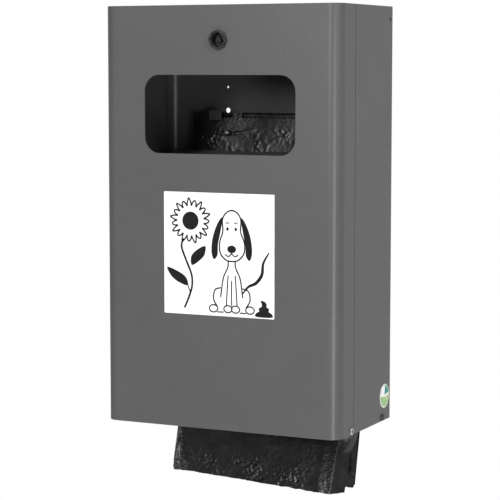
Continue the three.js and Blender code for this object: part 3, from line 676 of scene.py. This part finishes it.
dog_u = 13.8
head = [(4.2, 33), (8, 39.5), (14, 42), (20, 39.5), (23.4, 33), (23.2, 22), (27, 12), (26.5, 2), (20.5, -4.5),
        (14, -5.8), (7.5, -4.5), (1.8, 2), (1.4, 12), (4.6, 22)]
ink_line(head, closed=True)
for side in (-1, 1):
    def beside(*points):
        """Places of the dog's half on this side, from its middle line."""
        return [(dog_u + side * a, v) for a, v in points]

    ink_shape(flowing(beside((9.6, 35), (14.5, 30), (19.6, 17), (21.2, 3), (18.6, -4.5), (14.8, 0),
                             (14.2, 10), (12, 20)), True))
    ink_shape(ring_points(dog_u + side * 4.3, 24.5, 1.3, 1.7, steps=20))
    ink_line(beside((2.6, 29.6), (4.4, 30.6), (6.2, 29.4)), 0.98)
    ink_line(beside((0, 1.6), (3.4, -1.2), (6.8, 0.6)), 1.23)
    ink_line(beside((3.6, -6), (4.2, -12), (8.8, -22), (11.6, -40)))
    ink_line(beside((3.7, -19), (4.6, -32), (5.6, -47.5)), 1.23)
    ink_line(ring_points(dog_u + side * 4, -51, 4.2, 3.3), closed=True, width=1.3)
    ink_line(beside((11.4, -31), (17.5, -33.5), (19, -42), (15, -49)))
    ink_line(ring_points(dog_u + side * 19, -51, 4.4, 3.4), closed=True, width=1.3)
    ink_line(beside((8.4, -54), (15, -54.2)), 1.23)
ink_line([(dog_u, -24), (13.6, -36), (dog_u, -48)], 1.23)
ink_shape(ring_points(dog_u, 5.6, 4.6, 3.6))
ink_line([(dog_u, 2.5), (dog_u, 1.4)], 1.3)
ink_line([(25, -36), (31, -29), (39, -25), (45, -17), (46.6, -6), (52.5, 4)], 3.2, taper=True)

heap = [(39.4, -56.6), (38.8, -53.4), (42.2, -51.2), (41.8, -48.6), (44.6, -46.8), (44.8, -44), (43.6, -41.4),
        (47.6, -41.8), (50, -44.2), (50, -46.8), (52.6, -48.8), (52.2, -51.2), (55.6, -53.4), (55, -56.6)]
ink_shape(flowing(heap, True))

bmesh.ops.recalc_face_normals(ink, faces=ink.faces)
ink_data = bpy.data.meshes.new("Label_drawing")
ink.to_mesh(ink_data)
ink.free()
ink_data.materials.append(black_print)
drawing = bpy.data.objects.new("Label_drawing", ink_data)
scene.collection.objects.link(drawing)
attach(drawing, "door")


# ---------------------------------------------------------------- lock
# A die-cast key lock in black chrome: an eight-sided head with a bevelled rim, a turning
# core sunk in it with a three-sided stud, and behind the door its washer, nut and cam.

black_chrome = plated_steel("Black_chrome", (0.012, 0.012, 0.012), (0.034, 0.034, 0.034), 0.3)
black_chrome.node_tree.nodes["Principled BSDF"].inputs["Metallic"].default_value = 0.25

housing_low, housing_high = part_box("lock_housing")
head_back = door_low.y - fit
face_y = housing_low.y


def flats(radius, count, turn, x, z):
    """Corners of a regular outline with so many sides, round x and z."""
    return [(x + radius * math.cos(math.radians(turn + 360 * i / count)),
             z + radius * math.sin(math.radians(turn + 360 * i / count))) for i in range(count)]


head_radius = (housing_high.x - housing_low.x) / 2
housing = prism("Lock_housing", flats(head_radius, 8, 0, 0, lock_z), "y", face_y + 0.9 * mm, head_back)
rim_inside, rim_outside, rim_foot = 6.7 * mm, 8.4 * mm, 1 * mm
bezel = [(rim_inside, 0), (7.0 * mm, -0.7 * mm), (7.4 * mm, -0.9 * mm), (8.0 * mm, -0.6 * mm),
         (rim_outside, 0.1 * mm), (rim_outside, rim_foot), (rim_inside, rim_foot), (rim_inside, 0)]
barrel = bar("Barrel", 8.1 * mm, "y", head_back - 0.1 * mm, housing_high.y, 0, lock_z, 64)
worked(housing, [barrel], "UNION")
bore = bar("Bore", 6.6 * mm, "y", face_y - 2 * mm, housing_high.y + 2 * mm, 0, lock_z, 64)
worked(housing, [bore], "DIFFERENCE")
rounded_edges(housing, 0.5 * mm, black_chrome, 3)
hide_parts("lock_housing")
bezel_profile = [(r, face_y + rim_foot + y) for r, y in bezel]
rim = turned("Lock_rim", bezel_profile, (0, 1, 0), (0, 0, lock_z), black_chrome, 64)
for piece in (housing, rim):
    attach(piece, "door")

core_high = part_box("lock_core")[1]
core_floor = face_y + 8 * mm
core = bar("Lock_core", 6.3 * mm, "y", core_floor, housing_high.y, 0, lock_z, 64)
shaft = bar("Shaft", 3 * mm, "y", housing_high.y - sheet, core_high.y, 0, lock_z, 40)
stud = prism("Stud", flats(3.7 * mm, 3, 90, 0, lock_z), "y", face_y + 3.4 * mm, core_floor + 1 * mm)
worked(core, [stud, shaft], "UNION")
tapping = bar("Tapping", 1.8 * mm, "y", core_high.y - 6 * mm, core_high.y + 2 * mm, 0, lock_z)
worked(core, [tapping], "DIFFERENCE")
rounded_edges(core, 0.35 * mm, black_chrome, 3)
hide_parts("lock_core")
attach(core, "lock")

washer_low, washer_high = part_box("lock_washer")
barrel_hole, washer_edge = 8.5 * mm, 11.5 * mm
washer_profile = [(barrel_hole, washer_low.y), (washer_edge, washer_low.y), (washer_edge, washer_high.y),
                  (barrel_hole, washer_high.y), (barrel_hole, washer_low.y)]
washer = turned("Lock_washer", washer_profile, (0, 1, 0), (0, 0, lock_z), zinc, 64)
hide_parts("lock_washer")
nut_low, nut_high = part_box("lock_nut")
nut = prism("Lock_nut", flats(nut_high.z - lock_z, 6, 90, 0, lock_z), "y", nut_low.y, nut_high.y)
worked(nut, [bar("Bore", barrel_hole, "y", nut_low.y - mm, nut_high.y + mm, 0, lock_z, 64)], "DIFFERENCE")
rounded_edges(nut, 0.45 * mm, zinc, 3)
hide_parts("lock_nut")
for piece in (washer, nut):
    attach(piece, "door")

cam_low, cam_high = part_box("lock_cam")
cam_half, cam_corner = 7 * mm, 2 * mm
cam = prism("Lock_cam", [*turned_arc(0, lock_z, cam_half, -90, 90, 20),
                         *turned_arc(cam_low.x + cam_corner, lock_z + 5 * mm, cam_corner, 90, 180, 5),
                         *turned_arc(cam_low.x + cam_corner, lock_z - 5 * mm, cam_corner, 180, 270, 5)],
            "y", cam_low.y, cam_high.y)
worked(cam, [bar("Hole", 3.3 * mm, "y", cam_low.y - mm, cam_high.y + mm, 0, lock_z)], "DIFFERENCE")
rounded_edges(cam, 0.3 * mm, zinc)
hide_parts("lock_cam")
screw_low, screw_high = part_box("cam_screw")
seat_y = cam_high.y + fit
shank, head = 1.5 * mm, 5 * mm
screw_profile = [(0, screw_low.y), (shank, screw_low.y), (shank, seat_y), (head, seat_y),
                 (head, seat_y + 0.9 * mm), (4.2 * mm, seat_y + 1.8 * mm),
                 (2.6 * mm, screw_high.y - 0.05 * mm), (0, screw_high.y)]
screw = turned("Cam_screw", screw_profile, (0, 1, 0), (0, 0, lock_z), zinc)
slots = []
for half_x, half_z in ((3 * mm, 0.5 * mm), (0.5 * mm, 3 * mm)):
    corners = [(-half_x, lock_z - half_z), (half_x, lock_z - half_z),
               (half_x, lock_z + half_z), (-half_x, lock_z + half_z)]
    slots.append(prism("Slot", corners, "y", screw_high.y - 1.2 * mm, screw_high.y + mm))
worked(screw, slots, "DIFFERENCE")
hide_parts("cam_screw")
for piece in (cam, screw):
    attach(piece, "lock")


# ---------------------------------------------------------------- side sticker
# A small round vinyl sticker near the foot of the right side: a white disc printed teal at
# the upper right and green below, with a cream path and a thin green rim, and no words.

green_print = printed_vinyl("Green_print", (0.30, 0.52, 0.22), (0.40, 0.60, 0.28), 0.4)
teal_print = printed_vinyl("Teal_print", (0.02, 0.24, 0.20), (0.03, 0.30, 0.25), 0.4)
cream_print = printed_vinyl("Cream_print", (0.72, 0.66, 0.42), (0.80, 0.74, 0.50), 0.4)

disc_low, disc_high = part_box("round_sticker")
disc_y, disc_z = (disc_low.y + disc_high.y) / 2, (disc_low.z + disc_high.z) / 2
disc_radius = (disc_high.y - disc_low.y) / 2
disc = bar("Round_sticker", disc_radius, "x", disc_low.x, disc_high.x, disc_y, disc_z, 72)
rounded_edges(disc, 0.08 * mm, white_vinyl)
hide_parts("round_sticker")
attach(disc, "case")


def on_disc(name, outline, layer, material):
    """A printed area of the sticker; the outline is in shares of its radius."""
    places = [(disc_y + u * disc_radius, disc_z + v * disc_radius) for u, v in outline]
    front = disc_high.x + (0.02 + 0.03 * layer) * mm
    area = prism(name, places, "x", front - 0.015 * mm, front)
    area.data.materials.append(material)
    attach(area, "case")


def share_arc(radius, start, end, steps=20):
    """Part of a circle round the sticker's middle, in shares of its radius."""
    return turned_arc(0, 0, radius, start, end, steps)


on_disc("Sticker_sky", [*share_arc(0.88, 14, 84), (-0.02, 0.1)], 1, teal_print)
on_disc("Sticker_hill", [*share_arc(0.88, 178, 356), (0.3, -0.1), (-0.1, -0.06)], 1, green_print)
path = [(0.1, -0.06), (0.86, 0.12), (0.86, 0), (0.4, -0.14), (0.5, -0.34), (0.3, -0.5), (0.36, -0.3),
        (0.2, -0.14)]
on_disc("Sticker_path", path, 2, cream_print)
rim_outer, rim_inner = share_arc(0.98, 0, 359.9, 60), share_arc(0.93, 359.9, 0, 60)
on_disc("Sticker_rim", [*rim_outer, *rim_inner], 1, green_print)


# ---------------------------------------------------------------- hanging pins
# Two round steel pins with a collar at their end, turned, zinc plated and welded to the
# back of the case; the pack of bags hangs on them by its punched holes.

for side, word in ((-1, "left"), (1, "right")):
    node = "hanger_pin_" + word
    low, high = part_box(node)
    spot = ((low.x + high.x) / 2, 0, (low.z + high.z) / 2)
    stem, collar, collar_y = 2.5 * mm, 5 * mm, high.y - 1 * mm
    profile = [(0, low.y), (1.2 * mm, low.y), (2 * mm, low.y + 0.5 * mm), (stem, low.y + 1.5 * mm),
               (stem, high.y - 1.3 * mm), (3 * mm, collar_y), (collar, collar_y),
               (collar, high.y), (0, high.y)]
    pin = turned("Hanger_pin_" + word, profile, (0, 1, 0), spot, zinc)
    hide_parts(node)
    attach(pin, "case")


# ---------------------------------------------------------------- bags
# Flat bags of thin black film, punched for the pins and hung in a pack. Each film has kept
# its packing folds, its lower end is crumpled, and the front bag swings out at the bottom.


def black_film():
    """Thin black film: deep black with a soft gloss, cloudy and finely wrinkled."""
    surface = grained("Black_film", 90, 5, (0.006, 0.006, 0.0065), (0.016, 0.016, 0.017), (0.3, 0.75),
                      (0.2, 0.34), (0.35, 0.0004))
    nodes, links = surface.node_tree.nodes, surface.node_tree.links
    drawn_out = nodes.new("ShaderNodeMapping")
    drawn_out.inputs["Scale"].default_value = (1, 1, 2.2)
    wrinkle = nodes.new("ShaderNodeTexNoise")
    wrinkle.inputs["Scale"].default_value = 240
    wrinkle.inputs["Detail"].default_value = 4
    wrinkle.inputs["Distortion"].default_value = 1.2
    links.new(nodes["Texture Coordinate"].outputs["Object"], drawn_out.inputs["Vector"])
    links.new(drawn_out.outputs["Vector"], wrinkle.inputs["Vector"])
    links.new(wrinkle.outputs["Fac"], nodes["Bump"].inputs["Height"])
    return surface


film_black = black_film()
bag_bottom, case_foot = bag_low.z, case_low.z
pack_low, pack_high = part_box("bag_stack_front")
pack_top = pack_high.z
half_bag = (bag_high.x - bag_low.x) / 2
pin_low, pin_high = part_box("hanger_pin_right")
pin_x, pin_z = (pin_low.x + pin_high.x) / 2, (pin_low.z + pin_high.z) / 2
tab_low, tab_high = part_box("header_tab")


def ridge(x, z, size, seed, sharp=2.0):
    """Creases as film keeps them: sharp lines between flat, tilted facets."""
    value = noise.noise(Vector((x / size, z / size, seed)))
    return (1 - min(1, abs(value) * 2)) ** sharp


def crumple(x, z, seed):
    """Height of the crumpled film at a place, from about 0 to 1."""
    wander = 3 * mm * noise.noise(Vector((x / (19 * mm), z / (19 * mm), seed + 7)))
    facets = ridge(x + z * 0.8 + wander, z * 1.4 - x * 0.25, 6.2 * mm, seed)
    cross = ridge(x * 0.7 - z * 0.9, z * 1.2 + wander, 3.8 * mm, seed + 3)
    small = ridge(x + wander, z * 1.3, 2.2 * mm, seed + 5, 1.4)
    return 0.46 * facets + 0.32 * cross + 0.22 * small


def patches(x, z, seed):
    """Where the film is crumpled more and where it stayed smooth."""
    value = noise.noise(Vector((x / (24 * mm), z / (15 * mm), seed + 21)))
    return rise(value, -0.18, 0.3)


def rise(value, low, high):
    """0 up to the low end, 1 from the high end, and a soft slope between them."""
    t = min(1, max(0, (value - low) / (high - low)))
    return t * t * (3 - 2 * t)


def film(name, body, top, bottom, place, amount, seed, cell, slant=3 * mm, punched=True):
    """One film: a fine sheet; place(u, z) gives x and y, and amount(u, z) how crumpled."""
    pin_hole, notch_x, notch_half, notch_deep = 3.1 * mm, 51 * mm, 9 * mm, 5 * mm
    columns = round(2 * half_bag / cell)
    rows = round((top - bottom) / cell)
    mesh = bmesh.new()
    grid = []
    for row in range(rows + 1):
        line = []
        for column in range(columns + 1):
            u = -half_bag + 2 * half_bag * column / columns
            share = row / rows
            z = bottom + (top - bottom) * share
            ragged = abs(noise.noise(Vector((u / (13 * mm), seed, 0.3))))
            ragged += 0.3 * abs(noise.noise(Vector((u / (3 * mm), seed, 0.6))))
            x, y = place(u, z)
            y -= amount(u, z) * (crumple(u, z, seed) - 0.3)
            y -= 0.7 * mm * noise.noise(Vector((u / (38 * mm), z / (30 * mm), seed + 40)))
            z += 1.2 * mm * ragged * max(0, 1 - share * 14)
            z -= slant * (u + half_bag) / (2 * half_bag) * (1 - share)
            line.append(mesh.verts.new((x, y, z)))
        grid.append(line)
    for row in range(rows):
        for column in range(columns):
            u = -half_bag + 2 * half_bag * (column + 0.5) / columns
            z = bottom + (top - bottom) * (row + 0.5) / rows
            at_pin = math.hypot(abs(u) - pin_x, z - pin_z) < pin_hole
            at_notch = abs(abs(u) - notch_x) < notch_half and z > top - notch_deep
            if punched and (at_pin or at_notch):
                continue
            below, above = grid[row], grid[row + 1]
            mesh.faces.new((below[column], below[column + 1], above[column + 1], above[column]))
    loose = [vert for vert in mesh.verts if not vert.link_faces]
    bmesh.ops.delete(mesh, geom=loose, context="VERTS")
    for shown in mesh.faces:
        shown.smooth = True
    data = bpy.data.meshes.new(name)
    mesh.to_mesh(data)
    mesh.free()
    data.materials.append(film_black)
    piece = bpy.data.objects.new(name, data)
    scene.collection.objects.link(piece)
    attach(piece, body)
    return piece


def hanging(z):
    """How far down the free end a place is: 0 at the foot of the case, 1 at the bottom."""
    return max(0, (case_foot - z) / (case_foot - bag_bottom))


def gathered(u, z, narrower):
    """The sides draw in towards the header, and a little towards the bottom on the right."""
    outer = max(0, (abs(u) - 62 * mm) / (half_bag - 62 * mm))
    draw_in = 12 * mm * rise(z, case_foot + 190 * mm, case_foot + 256 * mm) * outer
    x = u - math.copysign(draw_in, u)
    if u > 0:
        x -= (narrower + 6.5 * mm * hanging(z)) * outer
    return x


def pack_place(depth_top, depth_free, narrower):
    """A film of the pack: upright at its top, swinging forward to the free end."""
    shoulder = case_foot + 230 * mm

    def place(u, z):
        swing = 1 - rise(z, case_foot, shoulder)
        y = depth_top + (depth_free - depth_top) * swing
        fan = max(0, (u - 84 * mm) / (half_bag - 84 * mm))
        return gathered(u, z, narrower), y + 1.2 * mm * fan * fan * hanging(z)
    return place


def crumpled_ends(u, z):
    """A packed film is crumpled most below the case and in a band under the pins."""
    lower = 1 - rise(z, case_foot - 60 * mm, case_foot - 25 * mm)
    upper = rise(z, case_foot + 225 * mm, case_foot + 262 * mm)
    upper *= 1 - rise(z, pin_z - 2 * mm, pin_z + 8 * mm)
    return (0.2 + 0.9 * max(lower, upper) * patches(u, z, 2.0)) * mm


visual_top = pack_top - 0.4 * mm
layers = ((-4.6, -20.9, 0.0, 2.4), (-8.4, -22.1, 2.5, 0.8), (-13.2, -23.6, 1.0, 2.0),
          (-15.6, -25.2, 3.0, 0.0), (-19.0, -26.4, 0.6, 1.0))
for index, (top_y, free_y, shorter, narrower) in enumerate(layers):
    piece = film("Pack_film_" + str(index + 1), "case", visual_top - 0.3 * index * mm,
                 bag_bottom + shorter * mm, pack_place(top_y * mm, free_y * mm, narrower * mm),
                 crumpled_ends, 11.0 + 3 * index, 2.4 * mm)
    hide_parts("bag_stack_back" if index < 3 else "bag_stack_front")


def front_place(u, z):
    """The front film of the pack: its header leans back and is folded over in a band."""
    lean_back = 8 * mm * max(0, (z - (pack_top - 50 * mm)) / (50 * mm))
    y = pack_low.y + 0.9 * mm + lean_back + 1.6 * mm * (1 - rise(z, case_foot, case_foot + 60 * mm))
    if u > -32 * mm:
        band = (visual_top - z) / (4.6 * mm)
        if band < 1:
            y -= 0.6 * mm * max(0, math.sin(math.pi * band)) ** 0.5
    sag_middle, sag_half = -46 * mm, 30 * mm
    sag = pin_z - 1 * mm + 2.6 * mm * ((u - sag_middle) / (22 * mm)) ** 2
    if abs(u - sag_middle) < sag_half:
        fade = 1 - (abs(u - sag_middle) / sag_half) ** 2
        y -= 0.7 * mm * math.exp(-((z - sag) / (1.5 * mm)) ** 2) * fade
    return gathered(u, z, 0.4 * mm), y


front_film = film("Pack_front_film", "case", visual_top, bag_bottom + 1.2 * mm,
                  front_place, crumpled_ends, 41.0, 1.2 * mm)
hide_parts("bag_stack_front")


def loose_place(u, z):
    """The bag that is pulled next: it leans out below the case, more and more to a fold."""
    fold_u = 80 * mm
    hang = hanging(z)
    lean = (8 + 19.5 * rise(u, -half_bag, fold_u + 20 * mm)) * mm
    curl = 3.5 * mm * rise(-u, 92 * mm, half_bag) * rise(-z, -case_foot + 14 * mm, -bag_bottom - 12 * mm)
    curl *= 1 - 0.8 * rise(-z, -bag_bottom - 7 * mm, -bag_bottom)
    y = -30.1 * mm - hang * lean - curl
    x = u - 2.6 * mm * hang * rise(-u, 0, half_bag)
    if u > fold_u:
        turn = math.radians(62) * min(1, 2.2 * hang)
        y += (u - fold_u) * math.sin(turn)
        x = fold_u + (u - fold_u) * math.cos(turn)
    pleat = 0.5 * mm * math.exp(-((u - 66 * mm) / (5 * mm)) ** 2)
    pleat += 0.7 * mm * math.exp(-((u - 90 * mm) / (1.8 * mm)) ** 2)
    return x, y - pleat * hang


def loose_amount(u, z):
    """The loose bag is crumpled along its hem, less so towards its fold and its lower edge."""
    hem = 1 - rise(z, bag_bottom + 14 * mm, bag_bottom + 32 * mm)
    to_left = 1 - 0.8 * rise(u, 20 * mm, 62 * mm)
    near_foot = 0.4 + 0.6 * (1 - rise(z, bag_bottom, bag_bottom + 24 * mm))
    return (0.2 + 2.9 * hem * to_left * near_foot * (0.25 + 0.75 * patches(u, z, 5.0))) * mm


loose_film = film("Loose_bag", "next_bag", bag_high.z - 6 * mm, bag_bottom + 0.5 * mm,
                  loose_place, loose_amount, 73.0, 0.9 * mm, slant=4.5 * mm, punched=False)
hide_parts("loose_bag")


# ---------------------------------------------------------------- header tab
# A short strip of stiff grey card, uncoated and with short fibres, folded over the top of
# the pack beside the left pin.

grey_card = grained("Header_card", 800, 4, (0.022, 0.022, 0.023), (0.05, 0.05, 0.052), (0.3, 0.7),
                    (0.6, 0.8), (0.3, 0.0001), (1, 1, 3))
tab_edge = 0.5 * mm
tab_outline = [(tab_low.y, tab_low.z), (tab_high.y, tab_low.z), (tab_high.y, tab_high.z - tab_edge),
               (tab_high.y - tab_edge, tab_high.z), (tab_low.y + tab_edge, tab_high.z),
               (tab_low.y, tab_high.z - tab_edge)]
tab = prism("Header_tab", tab_outline, "x", tab_low.x, tab_high.x)
rounded_edges(tab, 0.2 * mm, grey_card)
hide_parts("header_tab")
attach(tab, "case")
